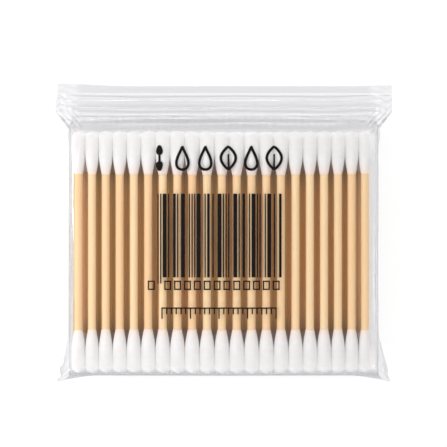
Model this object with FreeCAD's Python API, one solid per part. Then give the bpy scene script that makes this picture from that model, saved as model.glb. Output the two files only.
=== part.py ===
"""A clear press-seal bag packed with one hundred double-ended cotton swabs, lying on its back.

X runs across the bag, Y along the swabs towards the press seal, Z up through the thickness.
The origin is on the table, under the middle of the bag. Lengths are in millimetres.
"""

import FreeCAD
import Part
import math
import os

V = FreeCAD.Vector

# One swab
SWAB_LENGTH = 75.0
STICK_DIAMETER = 2.5
TIP_LENGTH = 13.6
TIP_DIAMETER = 4.5
TIP_NECK_WALL = 0.12
TIP_END_DIAMETER = 2.2
TAPER_LENGTH = 5.2
SHOULDER_NARROWING = 0.07
ROUND_LENGTH = 2.2
ROUND_WIDTH_SHARE = 0.6
ROUND_LENGTH_SHARE = 0.62
WOUND_LENGTH = 11.8

# How many flat sides stand for the round of a swab: more in the front row than behind it
FRONT_SIDES = 8
HIDDEN_SIDES = 6
FLATNESS = 1e-9

# How the swabs are packed, from the row on the table to the row in front
ROW_COUNTS = (19, 20, 20, 20, 21)
TIP_GAP = 0.11
SIDE_SQUEEZE = 0.104
ROW_RISE = 0.91
END_PLAY = 0.22
PACK_SHIFT = -0.6

# How many straight steps stand for the bag's rounds: one edge, the front's whole width, the bottom, the shoulder
EDGE_STEPS = 3
WIDTH_STEPS = 8
BOTTOM_STEPS = 2
SHOULDER_STEPS = 3

# The bag's film and how closely it wraps the swabs
FILM = 0.12
SIDE_CLEARANCE = 0.2
FACE_CLEARANCE = 0.15
END_CLEARANCE = 0.55
FRONT_EDGE_RADIUS = 2.5
BACK_EDGE_RADIUS = 6.8
BOTTOM_EDGE_RADIUS = 1.3
SIDE_WELD = 1.0

# The bottom corners of the flat bag, which stand out as ears
EAR_DROP = 2.4
EAR_REACH = 4.4
EAR_HEIGHT = 15.0
EAR_ALONG_BOTTOM = 10.5
EAR_ROOT = 0.5

# The closing end: shoulder, flap and press seal
SHOULDER_LENGTH = 4.8
FLAP_REACH = 5.3
FLAP_LENGTH = 9.2
FRONT_LIP_STEP = 3.0
LIP_OPENING = 0.7
CUT_OVERRUN = 1.0
CRUSHED_END = 5.0
PLEAT_DEPTH = 0.55
SEAL_OFFSET = 2.2
SEAL_BASE_WIDTH = 4.0
SEAL_BASE_THICKNESS = 0.2
SEAL_CLEARANCE = 0.04
RIB_STEM_WIDTH = 0.36
RIB_STEM_HEIGHT = 0.36
RIB_HEAD_WIDTH = 0.84
RIB_HEAD_HEIGHT = 0.42
RIB_EDGE_HEIGHT = 0.17
JAW_THICKNESS = 0.34
JAW_CHAMFER = 0.11


def pitch(column):
    """Spacing of the swabs near a column, counted from the middle one."""
    outermost = (max(ROW_COUNTS) - 1) / 2
    middle_pitch = TIP_DIAMETER + TIP_GAP
    return middle_pitch * (1 - SIDE_SQUEEZE * (column / outermost) ** 2)


def column_x(column):
    """Distance of a column from the middle: the pitch added up from the middle outwards."""
    outermost = (max(ROW_COUNTS) - 1) / 2
    middle_pitch = TIP_DIAMETER + TIP_GAP
    return middle_pitch * column * (1 - SIDE_SQUEEZE * (column / outermost) ** 2 / 3)


def tip_radius(column):
    """The cotton is squeezed a little narrower towards the bag's sides."""
    return (pitch(column) - TIP_GAP) / 2


def row_height(row, column):
    """Height of a swab's axis: each row lies in the hollows of the one below."""
    return FILM + FACE_CLEARANCE + pitch(column) * (0.5 + ROW_RISE * row)


def row_columns(row):
    """Column numbers of a row. Rows alternate by half a pitch, and an odd swab leaves its gap on the right."""
    count = ROW_COUNTS[row]
    half_step = 0.5 * ((row - len(ROW_COUNTS) + 1) % 2)
    first = -math.floor((count - 1) / 2 + 0.5 - half_step) - half_step
    return [first + k for k in range(count)]


# Places that follow from the sizes above
OUTER_COLUMN = (max(ROW_COUNTS) - 1) / 2
TOP_ROW = len(ROW_COUNTS) - 1
PACK_HALF_WIDTH = column_x(OUTER_COLUMN) + tip_radius(OUTER_COLUMN)
BODY_HALF_WIDTH = PACK_HALF_WIDTH + abs(PACK_SHIFT) + SIDE_CLEARANCE + FILM
EDGE_HEIGHT = row_height(TOP_ROW, OUTER_COLUMN) + tip_radius(OUTER_COLUMN) + FACE_CLEARANCE + FILM
CROWN_HEIGHT = row_height(TOP_ROW, 0) + tip_radius(0) + FACE_CLEARANCE + FILM
MIDDLE = EDGE_HEIGHT / 2
FLAP_HALF_WIDTH = BODY_HALF_WIDTH + FLAP_REACH
BAG_LENGTH = EAR_DROP + 2 * FILM + 2 * END_CLEARANCE + SWAB_LENGTH + END_PLAY + SHOULDER_LENGTH + FLAP_LENGTH
EAR_TIP_Y = -BAG_LENGTH / 2
BOTTOM_Y = EAR_TIP_Y + EAR_DROP
SWAB_START_Y = BOTTOM_Y + FILM + END_CLEARANCE
SHOULDER_Y = SWAB_START_Y + SWAB_LENGTH + END_PLAY + END_CLEARANCE + FILM
FLAP_Y = SHOULDER_Y + SHOULDER_LENGTH
LIP_Y = BAG_LENGTH / 2
SEAL_Y = FLAP_Y + SEAL_OFFSET
SEAL_HEIGHT = 2 * SEAL_BASE_THICKNESS + RIB_STEM_HEIGHT + RIB_HEAD_HEIGHT + 2 * SEAL_CLEARANCE
SLOT_HEIGHT = SEAL_HEIGHT


def ring(radius, y, sides):
    """A many-sided ring round the Y axis, with its corners on the circle."""
    turns = [2 * math.pi * (k + 0.5) / sides for k in range(sides)]
    return [V(radius * math.sin(turn), y, radius * math.cos(turn)) for turn in turns]


def flat_face(points):
    """One flat face inside a loop of points."""
    return Part.Face(Part.makePolygon(points + points[:1]))


def band(loop, next_loop):
    """Flat faces from one loop of points to the next, halved where four points don't lie in a plane."""
    faces = []
    for k in range(len(loop)):
        a, b = loop[k - 1], loop[k]
        c, d = next_loop[k], next_loop[k - 1]
        twist = (b - a).cross(c - a).dot(d - a)
        if abs(twist) < FLATNESS:
            faces.append(flat_face([a, b, c, d]))
        else:
            faces.append(flat_face([a, b, c]))
            faces.append(flat_face([a, c, d]))
    return faces


def through(loops):
    """A solid of flat faces through closed loops of points, one after the other."""
    faces = [flat_face(loops[0]), flat_face(loops[-1])]
    for loop, next_loop in zip(loops, loops[1:]):
        faces += band(loop, next_loop)
    shell = Part.makeShell(faces)
    shell.sewShape()
    solid = Part.makeSolid(shell)
    if solid.Volume < 0:
        solid.reverse()
    return solid


def stick_reach(sides):
    """How far the stick goes into each tip: wound in cotton in the front row, up to the neck behind it."""
    return WOUND_LENGTH if sides == FRONT_SIDES else 0


def cotton_tip(radius, sides):
    """One wound cotton tip: neck at the origin, blunt end towards +Y."""
    neck = STICK_DIAMETER / 2 + TIP_NECK_WALL
    end = TIP_END_DIAMETER / 2
    round_start = TIP_LENGTH - ROUND_LENGTH
    rings = [(neck, 0), (radius - SHOULDER_NARROWING, TAPER_LENGTH), (radius, round_start), (end, TIP_LENGTH)]
    if sides == FRONT_SIDES:
        half_round = (end + (radius - end) * ROUND_WIDTH_SHARE, round_start + ROUND_LENGTH * ROUND_LENGTH_SHARE)
        rings.insert(3, half_round)
    tip = through([ring(r, y, sides) for r, y in rings])
    reach = stick_reach(sides)
    if reach:
        tip = tip.cut(through([ring(STICK_DIAMETER / 2, y, sides) for y in (-CUT_OVERRUN, reach)]))
    return tip


def swab_place(row, column):
    """Start of one swab's axis. Each swab slides a little along the bag, by a fixed scatter."""
    scatter = 0.5 + 0.5 * math.sin(7.3 * row + 12.9898 * column)
    return V(column_x(column) + PACK_SHIFT, SWAB_START_Y + END_PLAY * scatter, row_height(row, column))


def swab_sides(row):
    """Only the front row is seen whole, so the rows behind it are plainer."""
    return FRONT_SIDES if row == TOP_ROW else HIDDEN_SIDES


def swab_stick(row, column):
    """The bamboo stick of one swab, in its place in the pack."""
    sides = swab_sides(row)
    start = TIP_LENGTH - stick_reach(sides)
    stick = through([ring(STICK_DIAMETER / 2, y, sides) for y in (start, SWAB_LENGTH - start)])
    return stick.translated(swab_place(row, column))


def swab_tips(row, column):
    """The two cotton tips of one swab, in their places in the pack."""
    place = swab_place(row, column)
    tip = cotton_tip(tip_radius(column), swab_sides(row))
    upper = tip.translated(place + V(0, SWAB_LENGTH - TIP_LENGTH, 0))
    lower = tip.rotated(V(0, 0, 0), V(0, 0, 1), 180).translated(place + V(0, TIP_LENGTH, 0))
    return [lower, upper]


def section(y, half_width, low, high, crown, low_edge, high_edge, pleat):
    """Closed loop of points across the bag: back, rounded edges and crowned front.

    An edge is given as (distance along the face, distance down the side).
    """

    def edge(hand, z_face, size, inwards):
        along, down = size
        points = []
        for k in range(EDGE_STEPS + 1):
            turn = math.pi / 2 * k / EDGE_STEPS
            x = half_width - along * (1 - math.sin(turn))
            z = z_face + inwards * down * (1 - math.cos(turn))
            points.append(V(hand * x, y, z))
        return points

    def face(hand, z_face, size, rise):
        reach = half_width - size[0]
        points = []
        for k in range(1, WIDTH_STEPS):
            share = 2 * k / WIDTH_STEPS - 1
            fold = pleat * (-1) ** k * share * share
            points.append(V(hand * share * reach, y, z_face + rise * (1 - share * share) + fold))
        return points

    right_low = edge(1, low, low_edge, 1)
    right_high = edge(1, high, high_edge, -1)
    left_low = edge(-1, low, low_edge, 1)
    left_high = edge(-1, high, high_edge, -1)
    back = face(1, low, low_edge, 0)
    front = face(-1, high, high_edge, crown)
    return back + right_low + right_high[::-1] + front + left_high + left_low[::-1]


def body_section(y, inset):
    """Section of the packed body, drawn in by an inset all round."""
    return section(
        y,
        BODY_HALF_WIDTH - inset,
        inset,
        EDGE_HEIGHT - inset,
        CROWN_HEIGHT - EDGE_HEIGHT,
        (BACK_EDGE_RADIUS - inset, BACK_EDGE_RADIUS - inset),
        (FRONT_EDGE_RADIUS - inset, FRONT_EDGE_RADIUS - inset),
        0,
    )


def bottom_sections(inset):
    """The rounded bottom end of the body."""
    radius = BOTTOM_EDGE_RADIUS - inset
    loops = []
    for k in range(BOTTOM_STEPS + 1):
        turn = math.pi / 2 * k / BOTTOM_STEPS
        y = BOTTOM_Y + inset + radius * (1 - math.cos(turn))
        loops.append(body_section(y, inset + radius * (1 - math.sin(turn))))
    return loops


def shoulder_section(share, inset):
    """Section on the way from the body, at share 0, to the flap, at share 1, with its gathered film.

    The film falls steeply from the body and runs out flat into the flap, while the bag widens evenly.
    """
    falling = 1 - (1 - share) ** 2
    slot = SLOT_HEIGHT / 2 + FILM
    pinch = slot - FILM

    def between(body_value, flap_value, reached=falling):
        return body_value + (flap_value - body_value) * reached

    side_wall = between(inset, SIDE_WELD if inset else 0)
    edge_inset = between(inset, side_wall)
    return section(
        SHOULDER_Y - FILM + share * (SHOULDER_LENGTH + FILM) - inset,
        between(BODY_HALF_WIDTH, FLAP_HALF_WIDTH, share) - side_wall,
        between(0, MIDDLE - slot) + inset,
        between(EDGE_HEIGHT, MIDDLE + slot) - inset,
        between(CROWN_HEIGHT - EDGE_HEIGHT, 0),
        (between(BACK_EDGE_RADIUS, CRUSHED_END) - edge_inset, between(BACK_EDGE_RADIUS, pinch) - inset / 2),
        (between(FRONT_EDGE_RADIUS, CRUSHED_END) - edge_inset, between(FRONT_EDGE_RADIUS, pinch) - inset / 2),
        PLEAT_DEPTH * math.sin(math.pi * share),
    )


def flap_section(y, opening, inset):
    """Section of the flat flap: two films apart by the press seal, pinched together at both side welds."""
    half_opening = opening / 2 + FILM - inset
    side_wall = SIDE_WELD if inset else 0
    pinch = (CRUSHED_END - side_wall, opening / 2 - inset / 2)
    return section(
        y,
        FLAP_HALF_WIDTH - side_wall,
        MIDDLE - half_opening,
        MIDDLE + half_opening,
        0,
        pinch,
        pinch,
        0,
    )


def bag_form(inset):
    """The bag's whole form as a solid: packed body, shoulder and flap. The inset form is its inside."""
    shoulder = [shoulder_section(k / SHOULDER_STEPS, inset) for k in range(SHOULDER_STEPS)]
    lip_overrun = CUT_OVERRUN if inset else 0
    flap = [
        flap_section(FLAP_Y - inset, SLOT_HEIGHT, inset),
        flap_section(SEAL_Y + SEAL_BASE_WIDTH / 2, SLOT_HEIGHT, inset),
        flap_section(LIP_Y + lip_overrun, LIP_OPENING, inset),
    ]
    return through(bottom_sections(inset) + shoulder + flap)


def seam_fins():
    """The welded side seams and the two ears: flat doubled film in the bag's middle plane."""
    side = BODY_HALF_WIDTH + SIDE_WELD
    inside = BODY_HALF_WIDTH - BACK_EDGE_RADIUS / 2
    fins = []
    for hand in (-1, 1):
        outline = [
            V(hand * inside, SHOULDER_Y, MIDDLE - FILM),
            V(hand * side, SHOULDER_Y, MIDDLE - FILM),
            V(hand * side, BOTTOM_Y + EAR_HEIGHT, MIDDLE - FILM),
            V(hand * (BODY_HALF_WIDTH + EAR_REACH), EAR_TIP_Y, MIDDLE - FILM),
            V(hand * (BODY_HALF_WIDTH - EAR_ALONG_BOTTOM), BOTTOM_Y + EAR_ROOT, MIDDLE - FILM),
            V(hand * inside, BOTTOM_Y + EAR_ROOT, MIDDLE - FILM),
        ]
        face = Part.Face(Part.makePolygon(outline + outline[:1]))
        fins.append(face.extrude(V(0, 0, 2 * FILM)))
    return fins


def bag_film():
    """The whole bag in one piece of film: two walls, side welds, ears and the flap with its stepped front lip."""
    outside = bag_form(0).fuse(seam_fins())
    film = outside.cut(bag_form(FILM))
    front_step = Part.makeBox(
        2 * (FLAP_HALF_WIDTH + CUT_OVERRUN),
        FRONT_LIP_STEP + CUT_OVERRUN,
        SLOT_HEIGHT,
        V(-FLAP_HALF_WIDTH - CUT_OVERRUN, LIP_Y - FRONT_LIP_STEP, MIDDLE),
    )
    return film.cut(front_step)


def strip(profile):
    """A profile in the YZ plane drawn out across the bag, between the crushed ends of the seal."""
    half_length = FLAP_HALF_WIDTH - CRUSHED_END
    wire = Part.makePolygon([V(-half_length, SEAL_Y + y, z) for y, z in profile + profile[:1]])
    return Part.Face(wire).extrude(V(2 * half_length, 0, 0))


def rib_strip():
    """The ribbed half of the press seal, on the back film: base, stem and arrow head."""
    floor = MIDDLE - SLOT_HEIGHT / 2
    base_top = floor + SEAL_BASE_THICKNESS
    head_base = base_top + RIB_STEM_HEIGHT
    head_top = head_base + RIB_HEAD_HEIGHT
    half_base = SEAL_BASE_WIDTH / 2
    half_stem = RIB_STEM_WIDTH / 2
    half_head = RIB_HEAD_WIDTH / 2
    left = [
        (-half_base, floor),
        (-half_base, base_top),
        (-half_stem, base_top),
        (-half_stem, head_base),
        (-half_head, head_base),
        (-half_head, head_base + RIB_EDGE_HEIGHT),
        (-half_stem, head_top),
    ]
    return strip(left + [(-y, z) for y, z in reversed(left)])


def groove_strip():
    """The grooved half of the press seal, on the front film: base and two hooked jaws round the rib's head."""
    ceiling = MIDDLE + SLOT_HEIGHT / 2
    base_low = ceiling - SEAL_BASE_THICKNESS
    half_base = SEAL_BASE_WIDTH / 2
    inner = RIB_HEAD_WIDTH / 2 + SEAL_CLEARANCE
    outer = inner + JAW_THICKNESS
    mouth = RIB_STEM_WIDTH / 2 + SEAL_CLEARANCE
    hook_top = base_low - SEAL_CLEARANCE - RIB_HEAD_HEIGHT - SEAL_CLEARANCE
    hook_low = hook_top - RIB_STEM_HEIGHT + 2 * SEAL_CLEARANCE
    left = [
        (-half_base, ceiling),
        (-half_base, base_low),
        (-outer, base_low),
        (-outer, hook_low + JAW_CHAMFER),
        (-inner, hook_low),
        (-mouth, hook_top),
        (-inner, hook_top),
        (-inner, base_low),
    ]
    return strip(left + [(-y, z) for y, z in reversed(left)])


def save(name, shape):
    """Writes one named piece."""
    shape.exportStep(os.path.join("parts", name + ".step"))


def main():
    os.makedirs("parts", exist_ok=True)
    save("bag_film", bag_film())
    save("seal_rib_strip", rib_strip())
    save("seal_groove_strip", groove_strip())
    for row in range(TOP_ROW):
        columns = row_columns(row)
        tips = [tip for column in columns for tip in swab_tips(row, column)]
        save("row_%d_sticks" % (row + 1), Part.makeCompound([swab_stick(row, c) for c in columns]))
        save("row_%d_cotton_tips" % (row + 1), Part.makeCompound(tips))
    for number, column in enumerate(row_columns(TOP_ROW), 1):
        save("front_swab_%02d_stick" % number, swab_stick(TOP_ROW, column))
        save("front_swab_%02d_cotton_tips" % number, Part.makeCompound(swab_tips(TOP_ROW, column)))


main()
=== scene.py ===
"""Looks of a clear press-seal bag full of cotton swabs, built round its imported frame.

X runs across the bag, Y along the swabs towards the press seal, Z up, in metres.
"""

import math

import bmesh
import bpy
import numpy as np
from bpy.props import FloatProperty, FloatVectorProperty, IntProperty, PointerProperty
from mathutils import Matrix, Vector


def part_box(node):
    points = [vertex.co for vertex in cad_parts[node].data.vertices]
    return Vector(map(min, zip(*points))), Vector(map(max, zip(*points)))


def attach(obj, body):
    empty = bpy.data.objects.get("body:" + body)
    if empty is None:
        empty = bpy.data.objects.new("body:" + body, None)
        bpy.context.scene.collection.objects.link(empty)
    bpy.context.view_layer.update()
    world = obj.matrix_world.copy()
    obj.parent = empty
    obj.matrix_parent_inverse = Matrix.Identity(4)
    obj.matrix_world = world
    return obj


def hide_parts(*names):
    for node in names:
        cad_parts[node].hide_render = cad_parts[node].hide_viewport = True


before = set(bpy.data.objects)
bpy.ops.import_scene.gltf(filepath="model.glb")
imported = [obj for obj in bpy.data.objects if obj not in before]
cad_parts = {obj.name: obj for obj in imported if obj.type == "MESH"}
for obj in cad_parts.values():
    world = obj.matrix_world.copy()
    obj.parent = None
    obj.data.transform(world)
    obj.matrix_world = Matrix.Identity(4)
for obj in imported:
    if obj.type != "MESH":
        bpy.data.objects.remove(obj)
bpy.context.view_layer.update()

bl_info = {
    "name": "Press-seal bag of cotton swabs",
    "version": (1, 0, 0),
    "blender": (4, 5, 0),
    "location": "3D View > Sidebar > Swab bag",
    "description": "Builds a clear press-seal bag, its cotton swabs and its printing",
    "category": "Add Mesh",
}

MM = 0.001
BODY = "root"
HIDDEN_ROWS = (1, 2, 3, 4)
# Rows whose swabs get painted shade inside the pack.
INNER_ROWS = ("row_2", "row_3", "row_4")
FRONT_NODES = sorted(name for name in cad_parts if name.startswith("front_swab_"))
TIP_RADIUS = 2.25 * MM
HEAD_FULLNESS = 1.03
WHITE = (1.0, 1.0, 1.0, 1.0)


class SwabSettings(bpy.types.PropertyGroup):
    """Sizes and colours of the swabs."""

    tip_length: FloatProperty(
        name="Tip length", description="Cotton from neck to blunt end", default=13.6 * MM, unit="LENGTH"
    )
    stick_radius: FloatProperty(
        name="Stick radius", description="Half the stick's thickness", default=1.28 * MM, unit="LENGTH"
    )
    lump_height: FloatProperty(
        name="Lumps",
        description="Height of the soft lumps in the wound cotton",
        default=0.035 * MM,
        unit="LENGTH",
    )
    stick_waver: FloatProperty(
        name="Stick waver", description="How far a stick strays from true", default=0.03 * MM, unit="LENGTH"
    )
    front_sides: IntProperty(
        name="Front sides", description="Steps round a swab of the front row", default=28
    )
    hidden_sides: IntProperty(
        name="Hidden sides", description="Steps round a swab behind the front row", default=12
    )
    seed: IntProperty(name="Seed", description="Fixes every random draw of the swabs", default=7)
    cotton: FloatVectorProperty(
        name="Cotton",
        description="Colour of clean cotton",
        subtype="COLOR",
        size=3,
        default=(0.762, 0.748, 0.742),
    )
    neck: FloatVectorProperty(
        name="Neck",
        description="Cotton where the stick shows through",
        subtype="COLOR",
        size=3,
        default=(0.82, 0.69, 0.61),
    )
    # Painted shade: dark brown on the inner rows' cotton, standing in for the shade deep in the pack.
    inner_neck_shade: FloatVectorProperty(
        name="Inner neck",
        description="The same in the rows inside the pack",
        subtype="COLOR",
        size=3,
        default=(0.30, 0.155, 0.06),
    )
    bamboo_light: FloatVectorProperty(
        name="Pale bamboo",
        description="Pale growth of the stick",
        subtype="COLOR",
        size=3,
        default=(0.815, 0.625, 0.368),
    )
    bamboo_dark: FloatVectorProperty(
        name="Dark bamboo",
        description="Dark growth of the stick",
        subtype="COLOR",
        size=3,
        default=(0.79, 0.50, 0.255),
    )
    # Painted shade: this and the next colour are darker, browner bamboo for the rows inside the pack,
    # standing in for the shade there.
    inner_pale_shaded: FloatVectorProperty(
        name="Inner pale bamboo",
        description="Pale growth inside the pack",
        subtype="COLOR",
        size=3,
        default=(0.52, 0.30, 0.025),
    )
    inner_dark_shaded: FloatVectorProperty(
        name="Inner dark bamboo",
        description="Dark growth inside the pack",
        subtype="COLOR",
        size=3,
        default=(0.60, 0.25, 0.025),
    )


class FilmSettings(bpy.types.PropertyGroup):
    """Sizes and finish of the bag's film."""

    thickness: FloatProperty(
        name="Film", description="Thickness of one wall", default=0.12 * MM, unit="LENGTH"
    )
    clearance: FloatProperty(
        name="Clearance",
        description="Room between swabs and film, with the film",
        default=0.27 * MM,
        unit="LENGTH",
    )
    side_clearance: FloatProperty(
        name="Side clearance", description="The same at the bag's sides", default=0.32 * MM, unit="LENGTH"
    )
    end_clearance: FloatProperty(
        name="End clearance", description="The same at the swabs' ends", default=0.67 * MM, unit="LENGTH"
    )
    front_radius: FloatProperty(
        name="Front edge", description="Radius of the front's long edges", default=2.5 * MM, unit="LENGTH"
    )
    back_radius: FloatProperty(
        name="Back edge", description="Radius of the back's long edges", default=6.8 * MM, unit="LENGTH"
    )
    end_radius: FloatProperty(
        name="End edge", description="Radius of the bottom edge", default=1.3 * MM, unit="LENGTH"
    )
    weld: FloatProperty(
        name="Side weld", description="Width of the flat welded side seam", default=1.0 * MM, unit="LENGTH"
    )
    lip_step: FloatProperty(
        name="Lip step",
        description="How far the back lip stands over the front one",
        default=3.0 * MM,
        unit="LENGTH",
    )
    clear: FloatVectorProperty(
        name="Clear",
        description="What one surface of stretched film lets through",
        subtype="COLOR",
        size=3,
        default=(0.993, 0.992, 0.993),
    )
    cloudy: FloatVectorProperty(
        name="Cloudy",
        description="What one surface of slack, cloudy film lets through",
        subtype="COLOR",
        size=3,
        default=(0.868, 0.868, 0.880),
    )
    edge_on: FloatVectorProperty(
        name="Edge on",
        description="What one surface lets through seen edge on",
        subtype="COLOR",
        size=3,
        default=(0.78, 0.78, 0.80),
    )
    haze: FloatProperty(
        name="Haze", description="Share of light that the film scatters", default=0.006, subtype="FACTOR"
    )
    milk: FloatProperty(
        name="Milk",
        description="The same where the film bends round the swabs' ends",
        default=0.27,
        subtype="FACTOR",
    )
    milk_colour: FloatVectorProperty(
        name="Milk colour",
        description="Colour of the milky film",
        subtype="COLOR",
        size=3,
        default=(0.85, 0.835, 0.835),
    )
    gloss: FloatProperty(
        name="Gloss", description="Strength of the film's reflections", default=0.42, subtype="FACTOR"
    )


class PrintSettings(bpy.types.PropertyGroup):
    """Places and sizes of the ink on the front."""

    ink: FloatVectorProperty(
        name="Ink", description="Colour of the ink", subtype="COLOR", size=3, default=(0.004, 0.003, 0.003)
    )
    left: FloatProperty(
        name="Left", description="Left side of the bar block", default=-20.5 * MM, unit="LENGTH"
    )
    width: FloatProperty(
        name="Width", description="Width of the bar block", default=38.4 * MM, unit="LENGTH"
    )
    bar_top: FloatProperty(
        name="Bar top", description="Upper end of the bars", default=12.3 * MM, unit="LENGTH"
    )
    bar_height: FloatProperty(
        name="Bar height", description="Length of the bars", default=25.9 * MM, unit="LENGTH"
    )
    guard_drop: FloatProperty(
        name="Guard drop", description="Extra length of the first two bars", default=1.9 * MM, unit="LENGTH"
    )
    symbol_height: FloatProperty(
        name="Symbols", description="Height of the row of symbols", default=8.0 * MM, unit="LENGTH"
    )
    symbol_top: FloatProperty(
        name="Symbol top", description="Upper end of the symbols", default=27.3 * MM, unit="LENGTH"
    )
    stroke: FloatProperty(
        name="Stroke", description="Width of the symbols' lines", default=0.85 * MM, unit="LENGTH"
    )


class StageSettings(bpy.types.PropertyGroup):
    """Camera, light and floor."""

    distance: FloatProperty(
        name="Distance", description="Camera above the bag's middle plane", default=0.75, unit="LENGTH"
    )
    view_width: FloatProperty(
        name="View width",
        description="Width of the picture at the middle plane",
        default=140.2 * MM,
        unit="LENGTH",
    )
    view_left: FloatProperty(
        name="View left",
        description="How far the camera stands left of the bag's middle",
        default=0.08 * MM,
        unit="LENGTH",
    )
    view_up: FloatProperty(
        name="View up",
        description="How far the camera stands towards the press seal",
        default=3.06 * MM,
        unit="LENGTH",
    )
    sky: FloatProperty(name="Sky", description="Strength of the even light from all round", default=0.67)
    lamp_power: FloatProperty(
        name="Lamp power", description="Power of each strip lamp", default=1.92, unit="POWER"
    )
    floor: FloatVectorProperty(
        name="Floor", description="Colour of the floor", subtype="COLOR", size=3, default=(0.95, 0.95, 0.95)
    )


def smooth_step(value):
    """Eases from 0 to 1."""
    value = np.clip(value, 0.0, 1.0)
    return value * value * (3 - 2 * value)


def bump(value, middle, width):
    """A soft hump of height 1."""
    return np.exp(-(((value - middle) / width) ** 2))


def node_points(*names):
    """Corners of the named frame nodes."""
    arrays = []
    for name in names:
        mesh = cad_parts[name].data
        flat = np.empty(len(mesh.vertices) * 3, np.float32)
        mesh.vertices.foreach_get("co", flat)
        arrays.append(flat.reshape(-1, 3).astype(float))
    return np.concatenate(arrays)


def read_row(stick_nodes, tip_nodes):
    """Axis x and z, both ends' y and the tip radius of each swab of one row, from left to right."""
    sticks = node_points(*stick_nodes)
    tips = node_points(*tip_nodes)
    sticks = sticks[np.argsort(sticks[:, 0])]
    breaks = np.nonzero(np.diff(sticks[:, 0]) > 1.0 * MM)[0] + 1
    axes = []
    for group in np.split(sticks, breaks):
        middle = (group.min(0) + group.max(0)) / 2
        axes.append((middle[0], middle[2]))
    axes = np.array(axes)
    owner = np.abs(tips[:, 0, None] - axes[None, :, 0]).argmin(1)
    rows = []
    for number, (x, z) in enumerate(axes):
        mine = tips[owner == number]
        radius = np.hypot(mine[:, 0] - x, mine[:, 2] - z).max()
        rows.append((x, z, mine[:, 1].min(), mine[:, 1].max(), radius))
    return np.array(rows)


def front_row():
    """The swabs of the front row."""
    sticks = [name for name in FRONT_NODES if name.endswith("_stick")]
    tips = [name for name in FRONT_NODES if name.endswith("_tips")]
    return read_row(sticks, tips)


def hidden_rows():
    """The swabs behind the front row."""
    rows = [read_row(["row_%d_sticks" % row], ["row_%d_cotton_tips" % row]) for row in HIDDEN_ROWS]
    return np.concatenate(rows)


class BagForm:
    """Main places of the bag, in metres, read from the frame."""

    def __init__(self, settings):
        film_low, film_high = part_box("bag_film")
        rib_low, rib_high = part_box("seal_rib_strip")
        _, groove_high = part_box("seal_groove_strip")
        self.swabs = front_row()
        every = np.concatenate([self.swabs, hidden_rows()])
        self.middle = (rib_low.z + groove_high.z) / 2
        self.slot = (groove_high.z - rib_low.z) / 2 + settings.thickness
        self.seal_low, self.seal_high = rib_low.y, rib_high.y
        self.flap_half = film_high.x
        self.lip = film_high.y
        self.front_lip = film_high.y - settings.lip_step
        self.ear = film_low.y
        self.half = np.abs(np.abs(every[:, 0]) + every[:, 4]).max() + settings.side_clearance
        self.bottom = every[:, 2].min() - settings.end_clearance
        self.swab_low, self.swab_high = every[:, 2].min(), every[:, 3].max()
        tops = self.swabs[:, 1] + self.swabs[:, 4] + settings.clearance
        self.edge_height = min(tops[0], tops[-1])
        self.crown = film_high.z - self.edge_height
        self.front_radius = settings.front_radius
        self.back_radius = settings.back_radius
        self.end_radius = settings.end_radius
        self.weld = settings.weld
        self.face_half = self.half - self.front_radius
        self.shoulder = self.swab_high

    def face_height(self, x):
        """Height of the front's outer face, without its creases."""
        share = np.clip(np.abs(x) / self.face_half, 0, 1)
        return self.edge_height + self.crown * (1 - share * share)

    def face_crease(self, x, y):
        """How far the front face stands off that height: it drapes over the swabs and ripples softly."""
        column = np.interp(x, self.swabs[:, 0], np.arange(len(self.swabs)))
        between = 0.5 - 0.5 * np.cos(2 * np.pi * column)
        inside = smooth_step((self.face_half + 1 * MM - np.abs(x)) / (2 * MM))
        near_tips = bump(y, self.swab_high - 6 * MM, 5 * MM) + bump(y, self.swab_low + 6 * MM, 5 * MM)
        drape = -0.10 * MM * between * near_tips
        from_top = smooth_step((self.swab_high - 9 * MM - y) / (8 * MM))
        from_bottom = smooth_step((y - self.swab_low - 9 * MM) / (8 * MM))
        sag = -0.16 * MM * from_top * from_bottom * (0.6 + 0.4 * between)
        across = np.sin(x / (6.1 * MM) + 1.7 * np.sin(y / (19 * MM)))
        ripple = 0.05 * MM * across * np.sin(y / (13 * MM) + 0.6)
        return (drape + sag + ripple) * inside


def link(name, vertices, faces, material, smooth=True):
    """A mesh object in the scene, from points and faces."""
    mesh = bpy.data.meshes.new(name)
    mesh.from_pydata([tuple(v) for v in vertices], [], [tuple(f) for f in faces])
    mesh.materials.append(material)
    mesh.polygons.foreach_set("use_smooth", [smooth] * len(mesh.polygons))
    mesh.update()
    piece = bpy.data.objects.new(name, mesh)
    bpy.context.scene.collection.objects.link(piece)
    return piece


def settle(piece, nodes=()):
    """Makes a finished piece ride with the bag, and hides the frame nodes it stands in for."""
    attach(piece, BODY)
    if nodes:
        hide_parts(*nodes)


def new_material(name):
    """An empty node material with its output."""
    material = bpy.data.materials.new(name)
    material.use_nodes = True
    material.node_tree.nodes.clear()
    output = material.node_tree.nodes.new("ShaderNodeOutputMaterial")
    return material, material.node_tree, output


def add(tree, kind, inputs=(), **values):
    """A node with its properties set, and its inputs given as values or as sockets of other nodes."""
    node = tree.nodes.new(kind)
    for key, value in values.items():
        setattr(node, key, value)
    for key, value in dict(inputs).items():
        if isinstance(value, bpy.types.NodeSocket):
            tree.links.new(value, node.inputs[key])
        else:
            node.inputs[key].default_value = value
    return node


def colour(values):
    """A colour with full cover."""
    return (*values, 1.0)


def attribute(tree, name):
    """The value of a vertex attribute."""
    return add(tree, "ShaderNodeAttribute", attribute_name=name).outputs["Fac"]


def object_place(tree):
    """Object coordinates."""
    return add(tree, "ShaderNodeTexCoord").outputs["Object"]


def stretched_place(tree, place, scale):
    """The same coordinates, scaled along each axis."""
    return add(tree, "ShaderNodeMapping", {"Vector": place, "Scale": scale}).outputs["Vector"]


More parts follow.
